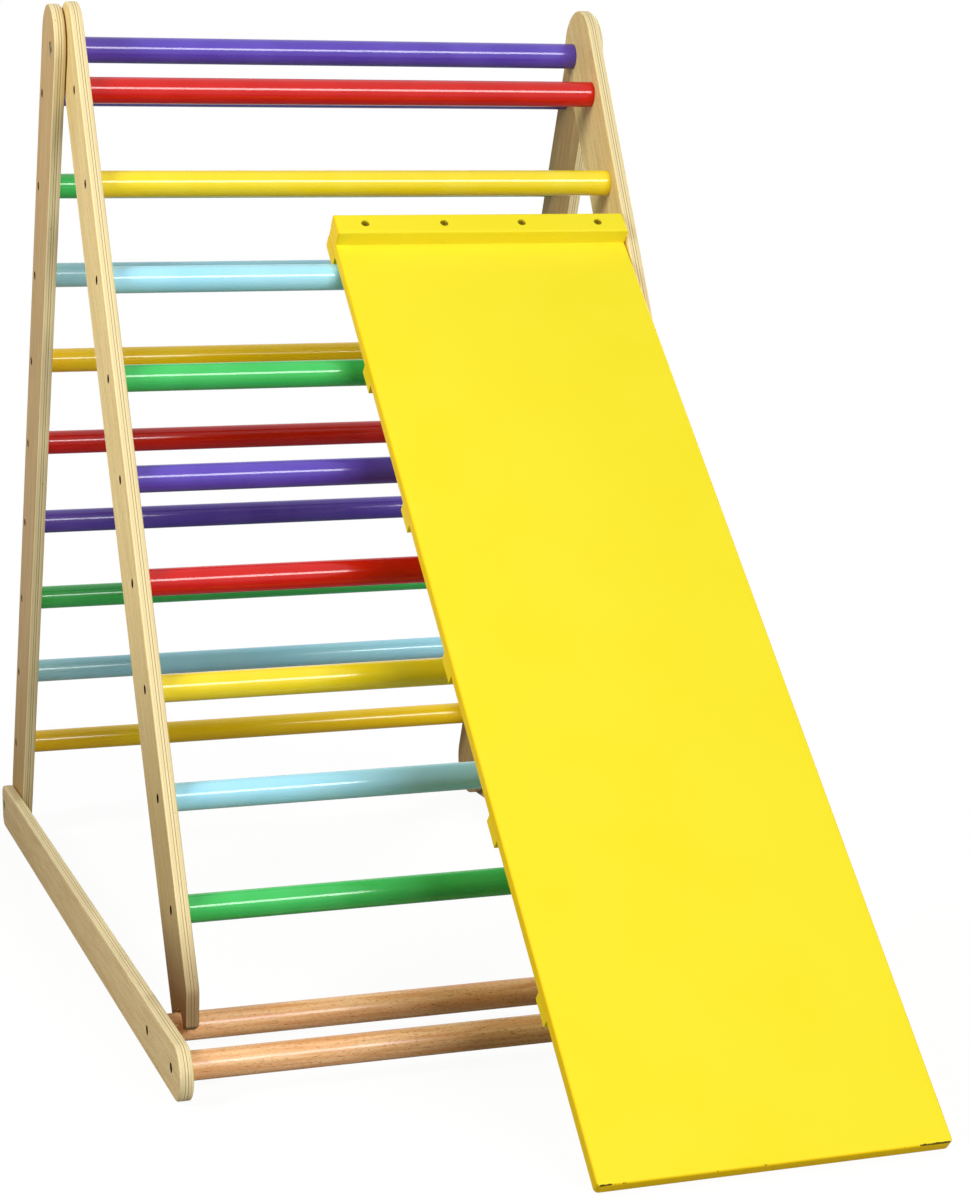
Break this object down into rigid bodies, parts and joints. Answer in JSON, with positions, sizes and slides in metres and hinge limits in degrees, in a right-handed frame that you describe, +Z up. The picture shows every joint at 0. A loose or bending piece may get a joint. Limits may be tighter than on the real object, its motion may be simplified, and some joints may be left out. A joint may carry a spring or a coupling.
{
  "type": "folding climbing frame",
  "caption": "Indoor climbing triangle for small children: two plywood ladders with painted rungs hinged at the top, a folding base frame, and a painted ramp that hooks over a rung.",
  "frame": {"origin": "on the floor, under the middle of the whole frame's bounding box", "axes": "+Z up, +Y from the ramp's toe to the rear ladder, +X to the side where the ramp hangs"},
  "size_m": [0.587, 1.3126, 0.9124],
  "materials": {
    "birch_plywood": "clear satin lacquer",
    "beech_dowel": "clear satin lacquer",
    "paint_purple": "gloss paint",
    "paint_red": "gloss paint",
    "paint_yellow": "gloss paint",
    "paint_light_blue": "gloss paint",
    "paint_green": "gloss paint",
    "ramp_yellow": "satin paint",
    "zinc_screw": "zinc plated",
    "dark_screw": "blackened",
    "steel_bolt": "zinc plated",
    "nylon_washer": "plain"
  },
  "bodies": {
    "rear_ladder": {"rear_rail_left": "birch_plywood", "rear_rail_right": "birch_plywood", "rear_rung_1": "paint_purple", "rear_rung_2": "paint_green", "rear_rung_3": "paint_light_blue", "rear_rung_4": "paint_yellow", "rear_rung_5": "paint_red", "rear_rung_6": "paint_purple", "rear_rung_7": "paint_green", "rear_rung_8": "paint_light_blue", "rear_rung_9": "paint_yellow", "rear_rung_screws": "zinc_screw"},
    "front_ladder": {"front_rail_left": "birch_plywood", "front_rail_right": "birch_plywood", "front_rung_1": "paint_red", "front_rung_2": "paint_yellow", "front_rung_3": "paint_light_blue", "front_rung_4": "paint_green", "front_rung_5": "paint_purple", "front_rung_6": "paint_red", "front_rung_7": "paint_yellow", "front_rung_8": "paint_light_blue", "front_rung_9": "paint_green", "front_rung_screws": "zinc_screw", "hinge_bolts": "steel_bolt", "hinge_inserts": "steel_bolt", "hinge_washers": "nylon_washer", "top_rung": "paint_purple"},
    "base_frame": {"base_bar_left": "birch_plywood", "base_bar_right": "birch_plywood", "dowel_screws": "zinc_screw", "foot_bolts": "steel_bolt", "foot_sleeve_nuts": "steel_bolt", "foot_washers": "nylon_washer", "front_dowel": "beech_dowel", "hook_dowel": "beech_dowel"},
    "ramp": {"ramp_batten_1": "ramp_yellow", "ramp_batten_2": "ramp_yellow", "ramp_batten_3": "ramp_yellow", "ramp_batten_4": "ramp_yellow", "ramp_batten_5": "ramp_yellow", "ramp_board": "ramp_yellow", "ramp_cleat": "ramp_yellow", "ramp_hook_batten": "ramp_yellow", "ramp_screws": "dark_screw"}
  },
  "joints": [
    {"name": "front_fold", "type": "hinge", "parent": "rear_ladder", "child": "front_ladder", "pos_m": [0, 0.21502, 0.86783], "axis": [1, 0, 0], "range_deg": [0, 53.4]},
    {"name": "base_fold", "type": "hinge", "parent": "rear_ladder", "child": "base_frame", "pos_m": [0, 0.63666, 0.024], "axis": [1, 0, 0], "range_deg": [0, 292.3]},
    {"name": "ramp_swing", "type": "hinge", "parent": "front_ladder", "child": "ramp", "pos_m": [0, 0.06583, 0.65178], "axis": [1, 0, 0], "range_deg": [-43, 0]}
  ],
  "couplings": [
    {"joint": "base_fold", "follows": "front_fold", "ratio": 5.4737}
  ]
}
